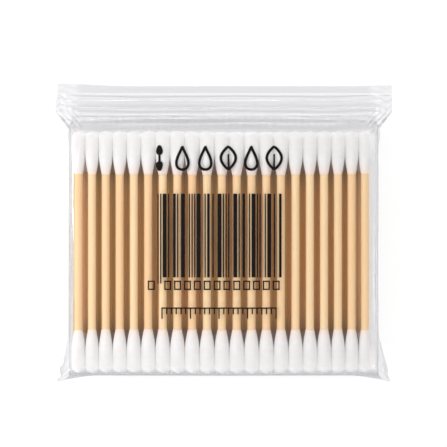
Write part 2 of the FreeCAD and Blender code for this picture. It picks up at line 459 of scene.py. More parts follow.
def noise(tree, place, scale, detail, **more):
    """Strength of a soft random pattern."""
    inputs = {"Vector": place, "Scale": scale, "Detail": detail, **more}
    return add(tree, "ShaderNodeTexNoise", inputs).outputs["Fac"]


def calculate(tree, operation, *values):
    """Result of one Math node on numbers or sockets."""
    return add(tree, "ShaderNodeMath", enumerate(values), operation=operation).outputs["Value"]


def ramp(tree, value, low, high):
    """Turns 0 to 1 into low to high."""
    inputs = {"Value": value, "To Min": low, "To Max": high}
    return add(tree, "ShaderNodeMapRange", inputs).outputs["Result"]


def share_of(tree, value, low, high):
    """Turns low to high into 0 to 1."""
    inputs = {"Value": value, "From Min": low, "From Max": high}
    return add(tree, "ShaderNodeMapRange", inputs).outputs["Result"]


def relief(tree, height, strength, distance):
    """A normal bumped by a pattern."""
    inputs = {"Height": height, "Strength": strength, "Distance": distance}
    return add(tree, "ShaderNodeBump", inputs).outputs["Normal"]


def mix_colours(tree, share, first, second):
    """A colour between two others, each given as a colour or as a socket."""
    inputs = {"Factor": share, "A": first, "B": second}
    return add(tree, "ShaderNodeMix", inputs, data_type="RGBA").outputs[2]


def mix_shaders(tree, share, first, second):
    """A finish between two others."""
    return add(tree, "ShaderNodeMixShader", {0: share, 1: first, 2: second}).outputs["Shader"]


def painted_depth_shade_mix(tree, outside, inside):
    """A colour that changes with how deep inside the pack a swab lies: painted shade for the swabs deep in
    the pack.
    """
    return mix_colours(tree, attribute(tree, "inside"), colour(outside), colour(inside))


def seen_directly(tree):
    """1 for camera, glossy and transmission rays, and 0 for the rest."""
    path = add(tree, "ShaderNodeLightPath").outputs
    seen = calculate(tree, "MAXIMUM", path["Is Camera Ray"], path["Is Glossy Ray"])
    return calculate(tree, "MAXIMUM", seen, path["Is Transmission Ray"])


def cotton_material(settings):
    """Matt wound cotton: fine fibres round the tip, warmer where the stick shows through at the neck; in the
    rows inside the pack, painted shade browns the neck and most of the tip.
    """
    material, tree, output = new_material("wound_cotton")
    place = object_place(tree)
    fine = noise(tree, stretched_place(tree, place, (1.0, 2.2, 1.0)), 2600.0, 6.0, Distortion=1.5)
    soft = noise(tree, place, 700.0, 3.0)
    # Painted shade: in the inner rows the neck colour reaches most of the tip.
    neck_and_shade_end = ramp(tree, attribute(tree, "inside"), 0.22, 0.80)
    reach = share_of(tree, attribute(tree, "along"), 0.0, neck_and_shade_end)
    clean = mix_colours(tree, soft, colour([v * 0.965 for v in settings.cotton]), colour(settings.cotton))
    neck = painted_depth_shade_mix(tree, settings.neck, settings.inner_neck_shade)
    finish = {
        "Base Color": mix_colours(tree, reach, neck, clean),
        "Normal": relief(tree, fine, 0.35, 0.08 * MM),
        "Roughness": 0.95,
        "Sheen Weight": 0.25,
        "Sheen Roughness": 0.6,
        "Specular IOR Level": 0.2,
        "Subsurface Weight": 0.25,
        "Subsurface Radius": (1.0, 0.9, 0.8),
        "Subsurface Scale": 0.6 * MM,
    }
    body = add(tree, "ShaderNodeBsdfPrincipled", finish)
    tree.links.new(body.outputs["BSDF"], output.inputs["Surface"])
    return material


def bamboo_material(settings):
    """Straight-grained bamboo: pale and dark growth in long fibres, each stick in a tone of its own; in the
    rows inside the pack, darker and browner as painted shade.
    """
    material, tree, output = new_material("bamboo_stick")
    grain = stretched_place(tree, object_place(tree), (1.0, 0.035, 1.0))
    fibres = noise(tree, grain, 2400.0, 4.0, Roughness=0.6)
    streaks = noise(tree, grain, 700.0, 2.0)
    both = calculate(tree, "MULTIPLY", fibres, streaks)
    shifted = calculate(tree, "MULTIPLY_ADD", attribute(tree, "tone"), 0.55, both)
    # Inside the pack both bamboo colours turn to painted shade.
    pale = painted_depth_shade_mix(tree, settings.bamboo_light, settings.inner_pale_shaded)
    dark = painted_depth_shade_mix(tree, settings.bamboo_dark, settings.inner_dark_shaded)
    finish = {
        "Base Color": mix_colours(tree, share_of(tree, shifted, 0.15, 0.85), pale, dark),
        "Roughness": ramp(tree, fibres, 0.45, 0.7),
        "Normal": relief(tree, fibres, 0.25, 0.05 * MM),
        "Specular IOR Level": 0.3,
    }
    body = add(tree, "ShaderNodeBsdfPrincipled", finish)
    tree.links.new(body.outputs["BSDF"], output.inputs["Surface"])
    return material


def clear_material(name, settings, haze, cloud_scale):
    """Clear soft plastic: cloudy where slack, and where the cloud attribute paints shade lines and clearer
    highlight lines; darker edge on, hazy in soft clouds, with gloss by Fresnel.
    """
    material, tree, output = new_material(name)
    place = object_place(tree)
    clouds = noise(tree, place, cloud_scale, 3.0)
    scratches = noise(tree, place, cloud_scale * 9, 4.0)
    facing = add(tree, "ShaderNodeLayerWeight", {"Blend": 0.5}).outputs["Facing"]
    # The cloud attribute is partly the film's own cloudiness and partly painted shade and painted highlight
    # lines.
    slack = attribute(tree, "cloud")
    square_on = mix_colours(tree, slack, colour(settings.clear), colour(settings.cloudy))
    edge_share = calculate(tree, "POWER", facing, 3.0)
    through = mix_colours(tree, edge_share, square_on, colour(settings.edge_on))
    clear = add(tree, "ShaderNodeBsdfTransparent", {"Color": through}).outputs["BSDF"]
    white = {"Color": colour(settings.milk_colour), "Roughness": 0.5}
    milk = add(tree, "ShaderNodeBsdfDiffuse", white).outputs["BSDF"]
    hazy = ramp(tree, clouds, haze * 0.4, haze * 1.6)
    milky = calculate(tree, "MULTIPLY_ADD", attribute(tree, "milk"), settings.milk, hazy)
    base = mix_shaders(tree, milky, clear, milk)
    fine = relief(tree, scratches, 0.12, 0.04 * MM)
    polish = {"Color": WHITE, "Roughness": 0.12, "Normal": fine}
    shine = add(tree, "ShaderNodeBsdfGlossy", polish).outputs["BSDF"]
    mirror = add(tree, "ShaderNodeFresnel", {"IOR": 1.5, "Normal": fine}).outputs["Fac"]
    glossy = calculate(tree, "MULTIPLY", mirror, settings.gloss)
    tree.links.new(mix_shaders(tree, glossy, base, shine), output.inputs["Surface"])
    return material


def ink_material(settings):
    """Flat black printing ink with a slightly uneven coat."""
    material, tree, output = new_material("printing_ink")
    uneven = noise(tree, object_place(tree), 900.0, 3.0)
    thin = colour([v * 2 for v in settings.ink])
    finish = {
        "Base Color": mix_colours(tree, uneven, colour(settings.ink), thin),
        "Roughness": ramp(tree, uneven, 0.35, 0.55),
        "Specular IOR Level": 0.05,
    }
    body = add(tree, "ShaderNodeBsdfPrincipled", finish)
    tree.links.new(body.outputs["BSDF"], output.inputs["Surface"])
    return material


def floor_material(settings):
    """Pale paper that the camera sees near white, with the bag's soft shadow kept."""
    material, tree, output = new_material("pale_floor")
    shown_white = 0.86
    share = calculate(tree, "MULTIPLY", seen_directly(tree), shown_white)
    paper = add(tree, "ShaderNodeBsdfDiffuse", {"Color": colour(settings.floor)}).outputs["BSDF"]
    white = add(tree, "ShaderNodeEmission", {"Color": WHITE, "Strength": 1.0}).outputs["Emission"]
    tree.links.new(mix_shaders(tree, share, paper, white), output.inputs["Surface"])
    return material


def turned(profile, sides):
    """Points and faces of a profile of (radius, y) turned round the Y axis, closed at both ends."""
    turns = np.arange(sides) * 2 * np.pi / sides
    rings = [np.stack([r * np.cos(turns), np.full(sides, y), r * np.sin(turns)], 1) for r, y in profile]
    vertices = np.concatenate(rings + [np.array([[0, profile[0][1], 0], [0, profile[-1][1], 0]])])
    faces = []
    for level in range(len(profile) - 1):
        for k in range(sides):
            a, b = level * sides + k, level * sides + (k + 1) % sides
            faces.append((a, a + sides, b + sides, b))
    start, end, last = len(vertices) - 2, len(vertices) - 1, (len(profile) - 1) * sides
    for k in range(sides):
        faces.append((start, k, (k + 1) % sides))
        faces.append((end, last + (k + 1) % sides, last + k))
    return vertices, faces


def tip_profile(settings, steps):
    """Radius along one cotton tip: a slim neck, a swelling belly and a blunt round end."""
    neck, neck_run, end_start, smallest = 0.585, 0.50, 0.79, 0.16
    profile = []
    for share in np.linspace(0, 1, steps):
        taper = neck + (1 - neck) * math.sin(min(share / neck_run, 1) * math.pi / 2) ** 1.1
        if share > end_start:
            fall = (share - end_start) / (1 - end_start)
            taper *= max(1 - fall**3.0, 0.0) ** 0.58
        profile.append((max(taper, smallest) * TIP_RADIUS, share * settings.tip_length))
    return profile


def template(name, profile, sides, along_length):
    """A hidden pattern piece that the node tree repeats."""
    vertices, faces = turned(profile, sides)
    mesh = bpy.data.meshes.new(name)
    mesh.from_pydata([tuple(v) for v in vertices], [], faces)
    mesh.polygons.foreach_set("use_smooth", [True] * len(mesh.polygons))
    along = mesh.attributes.new("along", "FLOAT", "POINT")
    along.data.foreach_set("value", [float(v[1] / along_length) for v in vertices])
    mesh.update()
    return bpy.data.objects.new(name, mesh)


def repeat_tree():
    """Node tree that sets a scaled and turned pattern piece at every point, then makes it uneven."""
    tree = bpy.data.node_groups.new("Repeat along the pack", "GeometryNodeTree")
    for name, kind in (
        ("Geometry", "NodeSocketGeometry"),
        ("Pattern", "NodeSocketObject"),
        ("Unevenness", "NodeSocketFloat"),
        ("Grain", "NodeSocketVector"),
        ("Seed", "NodeSocketFloat"),
        ("Material", "NodeSocketMaterial"),
    ):
        tree.interface.new_socket(name=name, in_out="INPUT", socket_type=kind)
    tree.interface.new_socket(name="Geometry", in_out="OUTPUT", socket_type="NodeSocketGeometry")
    given = tree.nodes.new("NodeGroupInput")
    result = tree.nodes.new("NodeGroupOutput")
    pattern = add(tree, "GeometryNodeObjectInfo", {"Object": given.outputs["Pattern"]})
    turn = add(tree, "GeometryNodeInputNamedAttribute", {"Name": "turn"}, data_type="FLOAT_VECTOR")
    scale = add(tree, "GeometryNodeInputNamedAttribute", {"Name": "size"}, data_type="FLOAT_VECTOR")
    points = add(tree, "GeometryNodeMeshToPoints", {"Mesh": given.outputs["Geometry"]})
    rotation = add(tree, "FunctionNodeEulerToRotation", {"Euler": turn.outputs["Attribute"]})
    placed = add(
        tree,
        "GeometryNodeInstanceOnPoints",
        {
            "Points": points.outputs["Points"],
            "Instance": pattern.outputs["Geometry"],
            "Rotation": rotation.outputs["Rotation"],
            "Scale": scale.outputs["Attribute"],
        },
    )
    real = add(tree, "GeometryNodeRealizeInstances", {"Geometry": placed.outputs["Instances"]})
    where = tree.nodes.new("GeometryNodeInputPosition")
    stretched = add(
        tree,
        "ShaderNodeVectorMath",
        {0: where.outputs["Position"], 1: given.outputs["Grain"]},
        operation="MULTIPLY",
    )
    field = {"Vector": stretched.outputs["Vector"], "W": given.outputs["Seed"], "Scale": 1.0, "Detail": 1.0}
    pattern_noise = add(tree, "ShaderNodeTexNoise", field, noise_dimensions="4D")
    centred = calculate(tree, "SUBTRACT", pattern_noise.outputs["Fac"], 0.5)
    height = calculate(tree, "MULTIPLY", centred, given.outputs["Unevenness"])
    normal = tree.nodes.new("GeometryNodeInputNormal")
    offset = add(
        tree, "ShaderNodeVectorMath", {0: normal.outputs["Normal"], "Scale": height}, operation="SCALE"
    )
    moved = add(
        tree,
        "GeometryNodeSetPosition",
        {"Geometry": real.outputs["Geometry"], "Offset": offset.outputs["Vector"]},
    )
    dressed = add(
        tree,
        "GeometryNodeSetMaterial",
        {"Geometry": moved.outputs["Geometry"], "Material": given.outputs["Material"]},
    )
    tree.links.new(dressed.outputs["Geometry"], result.inputs["Geometry"])
    return tree


def repeated(name, tree, pattern, places, sizes, turns, tones, inside, values, material):
    """The pattern piece at every place, as one plain mesh."""
    mesh = bpy.data.meshes.new(name)
    mesh.from_pydata([tuple(p) for p in places], [], [])
    for label, kind, data in (
        ("size", "FLOAT_VECTOR", sizes),
        ("turn", "FLOAT_VECTOR", turns),
        ("tone", "FLOAT", tones),
        ("inside", "FLOAT", inside),
    ):
        layer = mesh.attributes.new(label, kind, "POINT")
        channel = "vector" if kind == "FLOAT_VECTOR" else "value"
        layer.data.foreach_set(channel, np.asarray(data, np.float32).ravel())
    carrier = bpy.data.objects.new(name + "_points", mesh)
    bpy.context.scene.collection.objects.link(carrier)
    modifier = carrier.modifiers.new("Repeat", "NODES")
    modifier.node_group = tree
    values = dict(values, Pattern=pattern, Material=material)
    for item in tree.interface.items_tree:
        if item.in_out == "INPUT" and item.name in values:
            modifier[item.identifier] = values[item.name]
    bpy.context.view_layer.update()
    evaluated = carrier.evaluated_get(bpy.context.evaluated_depsgraph_get())
    made = bpy.data.meshes.new_from_object(evaluated)
    made.name = name
    carrier.modifiers.clear()
    bpy.data.objects.remove(carrier)
    made.polygons.foreach_set("use_smooth", [True] * len(made.polygons))
    piece = bpy.data.objects.new(name, made)
    bpy.context.scene.collection.objects.link(piece)
    return piece


def swab_group(title, swabs, sides, rings, settings, cotton, bamboo, tree, nodes):
    """Sticks and cotton tips of one row of swabs."""
    overlap, fine_levels, plain_levels = 2 * MM, 20, 2
    draw = np.random.default_rng(settings.seed + sum(map(ord, title)))
    count = len(swabs)
    x, z, low, high, radius = swabs.T
    tones = draw.random(count)
    # Painted shade mask: 1 for swabs deep in rows 2 to 4, weaker for the outermost swabs, 0 for the front row
    # and row 1.
    wall = np.minimum(x - x[0], x[-1] - x)
    depth_start, depth_run = 2.2 * MM, 6 * MM
    inside = smooth_step((wall + depth_start) / depth_run) * float(title in INNER_ROWS)
    tip = template(title + "_tip_pattern", tip_profile(settings, rings), sides, settings.tip_length)
    scale = HEAD_FULLNESS * radius / TIP_RADIUS
    places, sizes, turns, tip_tones, tip_inside = [], [], [], [], []
    for k in range(count):
        for end, flip in ((low[k], 0.0), (high[k], math.pi)):
            places.append((x[k], end + (settings.tip_length if not flip else -settings.tip_length), z[k]))
            sizes.append((scale[k], 1.0, scale[k]))
            turns.append((0.0, draw.random() * 2 * math.pi, math.pi - flip))
            tip_tones.append(tones[k])
            tip_inside.append(inside[k])
    lumps = {
        "Unevenness": settings.lump_height * 2, "Grain": (700.0, 420.0, 700.0), "Seed": float(settings.seed)
    }
    tips = repeated(
        title + "_wound_cotton", tree, tip, places, sizes, turns, tip_tones, tip_inside, lumps, cotton
    )
    settle(tips, [name for name in nodes if name.endswith("tips")])

    length = float(np.mean(high - low)) - 2 * overlap
    levels = np.linspace(0, length, fine_levels if title == "front_row" else plain_levels)
    profile = [(settings.stick_radius, y) for y in levels]
    stick = template(title + "_stick_pattern", profile, max(sides - 8, 8), length)
    starts = [(x[k], low[k] + overlap, z[k]) for k in range(count)]
    spins = [(0.0, draw.random() * 2 * math.pi, 0.0) for k in range(count)]
    waver = {
        "Unevenness": settings.stick_waver * 2,
        "Grain": (260.0, 60.0, 260.0),
        "Seed": float(settings.seed + 1),
    }
    sticks = repeated(
        title + "_bamboo_sticks",
        tree,
        stick,
        starts,
        [(1, 1, 1)] * count,
        spins,
        tones,
        inside,
        waver,
        bamboo,
    )
    settle(sticks, [name for name in nodes if not name.endswith("tips")])


class Film:
    """Grid points of the film: front and back sheet, welded at their sides and folded at the bottom."""

    FIN, SIDE, ARC, FACE = 5, 8, 12, 110
    END_ROWS, BODY_ROWS, CLOSE_STEP = 14, 50, 0.17 * MM
    EAR_REACH, EAR_HEIGHT, EAR_GROWTH = 4.4 * MM, 15.5 * MM, 3.3 * MM
    EAR_ALONG_BOTTOM, EAR_RUN = 11 * MM, 15 * MM
    BOTTOM_SAG, WALL_SHARE = 0.35 * MM, 0.6
    WELD_TUCK_RIGHT, WELD_TUCK_LEFT = 0.75, 0.3

    def __init__(self, form, thickness):
        self.form = form
        self.gap = thickness * 0.55

    def section(self, front):
        """Across the body: x, height off the middle plane, and how far round to the weld, from 0 to 1."""
        form = self.form
        radius = form.front_radius if front else form.back_radius
        rise = form.edge_height - form.middle if front else form.middle
        fin = np.linspace(1, 0, self.FIN, endpoint=False)
        side = np.linspace(0, 1, self.SIDE, endpoint=False)
        arc = np.linspace(0, np.pi / 2, self.ARC, endpoint=False)
        face_half = form.half - radius
        share = np.linspace(-1, 0, self.FACE // 2 + 1)
        share = share * (1.14 - 0.14 * share * share)
        x = np.concatenate([
            -form.half - form.weld * fin,
            np.full(self.SIDE, -form.half),
            -form.half + radius * (1 - np.cos(arc)),
            face_half * share,
        ])
        z = np.concatenate([
            np.full(self.FIN, 0.0),
            (rise - radius) * side,
            rise - radius + radius * np.sin(arc),
            np.full(len(share), rise),
        ])
        outer = self.FIN + self.SIDE + self.ARC
        steps = np.hypot(np.diff(x[: outer + 1]), np.diff(z[: outer + 1]))
        path = np.concatenate([[0], np.cumsum(steps)])
        spread = np.concatenate([1 - path[:-1] / path[-1], np.zeros(len(share))])
        if front:
            z[outer:] += form.crown * (1 - share * share)
        left = np.stack([x, z, spread])
        right = left[:, -2::-1] * np.array([[-1], [1], [1]])
        return np.concatenate([left, right], 1), face_half

    def flat_x(self, section, face_half, half_width):
        """Where the points lie once the film is flat: the face keeps its place, the rest spreads out."""
        x, _, spread = section
        face = np.clip(x, -face_half, face_half)
        return face + np.sign(x) * spread * (half_width - face_half)

    def fin_growth(self, y):
        """The side outline runs out towards the ear near the bottom."""
        form = self.form
        reach = np.clip((form.ear + self.EAR_HEIGHT - y) / self.EAR_HEIGHT, 0, 1)
        return self.EAR_GROWTH * reach**1.25

    def outside(self, x):
        """How far out on the side weld a point lies, from 0 to 1."""
        form = self.form
        return np.where(np.abs(x) > form.half, (np.abs(x) - form.half) / form.weld, 0)

    def fold_y(self, x):
        """The bottom fold: straight in the middle, dropping to both ears."""
        form = self.form
        out = np.clip((np.abs(x) - form.half + self.EAR_ALONG_BOTTOM) / self.EAR_RUN, 0, 1)
        middle = form.bottom - self.BOTTOM_SAG
        return middle - (middle - form.ear) * out**1.6

    def end_rows(self, section, face_half):
        """From the bottom fold up the end wall and round into the face."""
        form = self.form
        x, z, spread = section
        edge = form.end_radius / np.abs(z).max()
        fold_x = self.flat_x(section, face_half, form.half + self.EAR_REACH)
        fold_y = self.fold_y(fold_x)
        drop = fold_y - self.fold_y(0 * fold_x)
        body_x = x + np.sign(x) * self.outside(x) * self.fin_growth(form.bottom + form.end_radius)
        rows = []
        for step in range(self.END_ROWS):
            t = step / self.END_ROWS
            if t < self.WALL_SHARE:
                height = (1 - edge) * t / self.WALL_SHARE
                y = form.bottom - self.BOTTOM_SAG * (1 - t / self.WALL_SHARE)
            else:
                angle = (t - self.WALL_SHARE) / (1 - self.WALL_SHARE) * math.pi / 2
                height = 1 - edge * (1 - math.sin(angle))
                y = form.bottom + form.end_radius * (1 - math.cos(angle))
            pull = smooth_step(t / 0.85)
            row_x = fold_x + (body_x - fold_x) * pull**0.7
            side_y = fold_y * (1 - pull) + y * pull
            row_y = np.where(spread > 0, side_y, y + drop * (1 - pull))
            rows.append((row_x, row_y, z * height, np.full_like(x, t)))
        return rows

    def body_rows(self, section):
        """Along the swabs, where the side welds draw in a little."""
        form = self.form
        x, z, _ = section
        rows = []
        start = form.bottom + form.end_radius
        most = form.weld * np.where(x > 0, self.WELD_TUCK_RIGHT, self.WELD_TUCK_LEFT)
        for y in np.linspace(start, form.shoulder, self.BODY_ROWS, endpoint=False):
            tuck = most * smooth_step((y - start) / (18 * MM)) * smooth_step((form.shoulder - y) / (7 * MM))
            row_x = x + np.sign(x) * self.outside(x) * (self.fin_growth(y) - tuck)
            rows.append((row_x, np.full_like(x, y), z, np.ones_like(x)))
        return rows

    def widening(self, y):
        """How far the side outline has run out from the body, at 0, to the flap, at 1."""
        return np.clip((y - self.form.shoulder - 1.2 * MM) / (5.0 * MM), 0, 1)

    def outline(self, y):
        """Half width of the flat film near the shoulder."""
        narrow = self.form.half + self.form.weld
        return narrow + (self.form.flap_half - narrow) * self.widening(y)

    def closing_rows(self, section, face_half, front):
        """Shoulder and flap, up to the lip."""
        form = self.form
        x, z, spread = section
        sign = 1 if front else -1
        end = form.front_lip if front else form.lip
        count = int(round((end - form.shoulder) / self.CLOSE_STEP))
        rows = []
        for y in np.linspace(form.shoulder, end, count + 1):
            drop = np.clip((y - form.shoulder) / (5.6 * MM), 0, 1)
            height = (1 - drop) ** 1.55 * (1 + 1.1 * drop)
            widen = self.widening(y)
            flat = self.flat_x(section, face_half, self.outline(y))
            pull = smooth_step(widen * 1.5)
            row_x = x + (flat - x) * (pull + (1 - pull) * spread**3)
            beyond = np.clip((form.flap_half - np.abs(row_x)) / (5 * MM), 0, 1)
            lip = np.clip((y - form.seal_high) / (form.lip - form.seal_high), 0, 1)
            opened = smooth_step(beyond * 1.3)
            half_slot = form.slot * (1 - 0.45 * lip) * opened + self.gap * (1 - opened)
            flat_z = sign * np.where(spread >= 1, 0, half_slot)
            row_z = flat_z + (z - flat_z) * height
            free = smooth_step((y - form.seal_low - 1 * MM) / (form.lip - form.seal_low))
            row_x = row_x + 0.8 * MM * free * spread * (x < 0)
            left_end = smooth_step((-30 * MM - row_x) / (18 * MM))
            middle = 1 - smooth_step((np.abs(row_x) - 40 * MM) / (12 * MM))
            row_y = y + free * (0.55 * MM * left_end - 0.28 * MM * middle)
            rows.append((row_x, row_y, row_z, np.ones_like(x)))
        return rows

    def creases(self, x, y, front):
        """How far the film stands off its plain form, along its own normal."""
        form = self.form
        size = np.abs(x)
        seal = (form.seal_low + form.seal_high) / 2
        wave = 0.12 * MM * np.sin(x / (17 * MM) + 0.8) + 0.05 * MM * np.sin(x / (5.3 * MM))
        ends = smooth_step((form.flap_half - 2 * MM - size) / (8 * MM))
        high = 0
        lines = (
            (form.seal_low, 0.17, 0.28),
            (seal - 0.45 * MM, 0.17, 0.22),
            (seal + 0.5 * MM, 0.15, 0.22),
            (form.seal_high, 0.16, 0.26),
            (form.shoulder + 2.5 * MM, 0.24, 0.50),
            (form.shoulder + 4.6 * MM, 0.14, 0.30),
            (form.front_lip - 0.35 * MM, 0.10, 0.20),
        )
        for place, height, width in lines:
            waves = wave * (1.6 if place < form.seal_low else 0.35)
            high = high + height * MM * bump(y, place + waves, width * MM)
        high = high * (0.35 + 0.65 * ends)
        corner = smooth_step((size - form.half + 9 * MM) / (7 * MM))
        corner = corner * bump(y, form.shoulder + 3.2 * MM, 3.4 * MM)
        bent = 2.2 * np.sin(y / (2.1 * MM))
        gathers = 0.26 * MM * np.sin((self.outline(y) - size) / (0.42 * MM) + bent) * corner
        crushed = smooth_step((size - form.flap_half + 7.5 * MM) / (2.5 * MM))
        crushed = crushed * smooth_step((y - form.seal_low + 1 * MM) / (2 * MM))
        gathers = gathers + 0.10 * MM * crushed * self.crumple(x, y, 0.36 * MM)
        reach = form.half + self.EAR_REACH - size
        ray = np.arctan2(y - form.ear, reach)
        near_ear = smooth_step(1 - np.hypot(y - form.ear, reach) / (13 * MM))
        ear_folds = 0.16 * MM * np.sin(ray * 13 + 0.7 * np.sign(x)) * near_ear
        edge_line = form.half - 1.55 * MM + 0.30 * MM * np.sin(y / (7.5 * MM)) * np.where(x < 0, 1, 0.5)
        along = smooth_step((y - form.bottom - 8 * MM) / (10 * MM))
        along = along * smooth_step((form.shoulder - y) / (6 * MM))
        ridge = 0.13 * bump(size, edge_line, 0.30 * MM)
        valley = 0.10 * bump(size, edge_line - 0.9 * MM, 0.5 * MM)
        edge_fold = (ridge - valley) * MM * along
        side = smooth_step((size - form.half + 3.2 * MM) / (1.2 * MM)) * along
        winding = 2.4 * np.sin(y / (6.5 * MM)) + 1.1 * np.sin(y / (2.3 * MM))
        streaks = 0.05 * MM * side * np.sin(x / (0.17 * MM) + winding)
        total = high + gathers + ear_folds + streaks
        if front:
            total = total + edge_fold + form.face_crease(x, y) * (y < form.shoulder + 1 * MM)
        return total

    def crumple(self, x, y, spacing):
        """The uneven little waves of the flap's crushed ends, from -1 to 1."""
        bent = 1.8 * np.sin(x / (1.3 * MM)) + 0.6 * np.sin(x / (0.5 * MM))
        return np.sin(y / spacing + bent)

    def sheet(self, front):
        """One sheet's grid of points, and how cloudy the film is at each."""
        section, face_half = self.section(front)
        if not front:
            section = section * np.array([[1], [-1], [1]])
        rows = self.end_rows(section, face_half) + self.body_rows(section)
        rows += self.closing_rows(section, face_half, front)
        x, y, z, settled = (np.array([row[k] for row in rows]) for k in range(4))
        across = np.stack([np.gradient(a, axis=1) for a in (x, y, z)], -1)
        lengthwise = np.stack([np.gradient(a, axis=0) for a in (x, y, z)], -1)
        normal = np.cross(across, lengthwise)
        length = np.linalg.norm(normal, axis=-1, keepdims=True)
        normal = normal / np.maximum(length, 1e-12)
        if not front:
            normal = -normal
        lift = self.creases(x, y, front) * settled
        sign = 1 if front else -1
        gap = sign * self.gap * smooth_step(settled * 3)
        near_middle = np.clip(1 - np.abs(z) / (self.gap * 4), 0, 1)
        z = z + gap * near_middle
        points = np.stack([x, y, z + self.form.middle], -1) + normal * lift[..., None]
        floor = 0.02 * MM
        points[..., 2] = np.maximum(points[..., 2], floor)
        return points, self.cloud(x, y, section[2])

    def cloud(self, x, y, spread):
        """How cloudy the film looks: clear over the swabs, cloudier at the seal, most in the back lip.

        Stretched lines along the seal stay clear or gather haze, partly as the film's own lines and partly as
        painted highlights and painted shade; fold lines at the corners gather haze; a cloudy band under the
        swabs' lower ends is painted shade.
        """
        form = self.form
        size = np.abs(x)
        up = smooth_step((size - 31 * MM) / (14 * MM)) * np.where(x > 0, 1.4, 0.7) * MM
        up = up * (0.25 + 0.75 * smooth_step((form.seal_low - y) / (3.5 * MM)))
        wander = 0.10 * MM * np.sin(x / (9 * MM) + 1.0) + 0.05 * MM * np.sin(x / (3.1 * MM) + 0.4)
        line_y = y - up - wander
        lines = 0
        # Clearer and cloudier lines: partly the seal's own stretched lines, partly painted highlights and
        # painted shade.
        for place, strength, width in (
            (form.front_lip - 0.55 * MM, 0.62, 0.16),
            (form.front_lip - 1.70 * MM, 0.06, 0.60),
            (form.seal_high - 1.45 * MM, 0.13, 0.45),
            (form.seal_low + 1.60 * MM, -0.24, 0.30),
            (form.seal_low + 0.75 * MM, 0.26, 0.36),
            (form.seal_low - 0.10 * MM, -0.06, 0.30),
            (form.seal_low - 0.75 * MM, 0.15, 0.35),
            (form.seal_low - 1.75 * MM, -0.24, 0.60),
            # Painted light: this strongly clearer band lightens the shade on the shoulder's steep slope; the
            # cloudier band below it, just above the swabs' ends, is painted shade.
            (form.shoulder + 2.50 * MM, -0.75, 0.32),
            (form.shoulder + 0.70 * MM, 0.16, 0.95),
        ):
            lines = lines + strength * bump(line_y, place, width * MM)
        fine = np.sin(line_y / (0.19 * MM) + 1.5 * np.sin(x / (14 * MM)))
        steps = 0.04 * fine * np.sin(x / (11 * MM) + 0.7)
        zone = smooth_step((y - form.swab_high + 0.75 * MM) / (0.9 * MM))
        ends = smooth_step((size - form.flap_half + 8 * MM) / (2.5 * MM))
        crushed = ends * (0.14 * self.crumple(x, y, 0.33 * MM) - 0.03)
        closing = zone * (0.30 + (lines + steps) * (1 - 0.7 * ends) + crushed)
        lip = 0.62 * smooth_step((y - form.front_lip - 0.55 * MM) / (0.12 * MM)) * (1 - 0.45 * ends)

        corner = smooth_step((size - form.half + 6 * MM) / (4 * MM))
        corner = corner * bump(y, form.shoulder + 3.0 * MM, 3.0 * MM)
        fold = np.sin((self.outline(y) - size) / (0.30 * MM) + 2.0 * np.sin(y / (1.9 * MM)))
        corners = 0.42 * corner * fold

        reach = form.half + self.EAR_REACH - size
        ray = np.arctan2(y - form.ear, reach)
        near_ear = smooth_step(1.15 - np.hypot(y - form.ear, reach) / (15 * MM))
        side = smooth_step((size - form.half + 0.3 * MM) / (0.8 * MM))
        rays = np.sin(ray * 17 + 0.9 * np.sign(x) + 1.2 * np.sin(y / (1.7 * MM)))
        ears = near_ear * (0.03 + 0.12 * rays)
        edge = 0.18 * side + 0.06 * smooth_step((size - form.half + 2.5 * MM) / (1.5 * MM))
        rim = 0.35 * smooth_step((spread - 0.97) / 0.02) * (y < form.shoulder + 7 * MM)
        # Painted shade: a cloudy band across the film just under the swabs' lower ends, standing in for the
        # shade there.
        base = 0.95 * smooth_step((form.swab_low + 0.3 * MM - y) / (0.5 * MM)) * (1 - side)
        return np.clip(np.maximum(closing, edge) + lip + corners + ears + rim + base, 0, 1)

    def milk(self, x, y):
        """How milky the film looks: only where it bends round the swabs' ends."""
        form = self.form
        reach, run = 10.5 * MM, 7 * MM
        top = smooth_step((y - form.swab_high + reach) / run)
        top = top * smooth_step((form.swab_high + 0.4 * MM - y) / (1 * MM))
        low = smooth_step((form.swab_low + reach - y) / run)
        low = low * smooth_step((y - form.swab_low - 0.6 * MM) / (0.8 * MM))
        return (top + low) * smooth_step((form.half - 0.4 * MM - np.abs(x)) / (1 * MM))


def film_mesh(film, material):
    """Front and back sheet joined at the side welds and along the bottom fold."""
    (front, front_cloud), (back, back_cloud) = film.sheet(True), film.sheet(False)
    columns = front.shape[1]
    offset = front.shape[0] * columns
    vertices = np.concatenate([front.reshape(-1, 3), back.reshape(-1, 3)])
    faces = []
    for j in range(front.shape[0] - 1):
        for i in range(columns - 1):
            a = j * columns + i
            faces.append((a, a + 1, a + columns + 1, a + columns))
    for j in range(back.shape[0] - 1):
        for i in range(columns - 1):
            a = offset + j * columns + i
            faces.append((a, a + columns, a + columns + 1, a + 1))
    for j in range(front.shape[0] - 1):
        left, left_back = j * columns, offset + j * columns
        right, right_back = left + columns - 1, left_back + columns - 1
        faces.append((left, left + columns, left_back + columns, left_back))
        faces.append((right, right_back, right_back + columns, right + columns))
    piece = link("bag_film_shell", vertices, faces, material)
    clouds = np.concatenate([front_cloud.ravel(), back_cloud.ravel()])
    for name, values in (("cloud", clouds), ("milk", film.milk(*vertices.T[:2]))):
        layer = piece.data.attributes.new(name, "FLOAT", "POINT")
        layer.data.foreach_set("value", values.astype(np.float32))
    shell = bmesh.new()
    shell.from_mesh(piece.data)
    bmesh.ops.remove_doubles(shell, verts=shell.verts, dist=0.002 * MM)
    shell.to_mesh(piece.data)
    shell.free()
    return piece


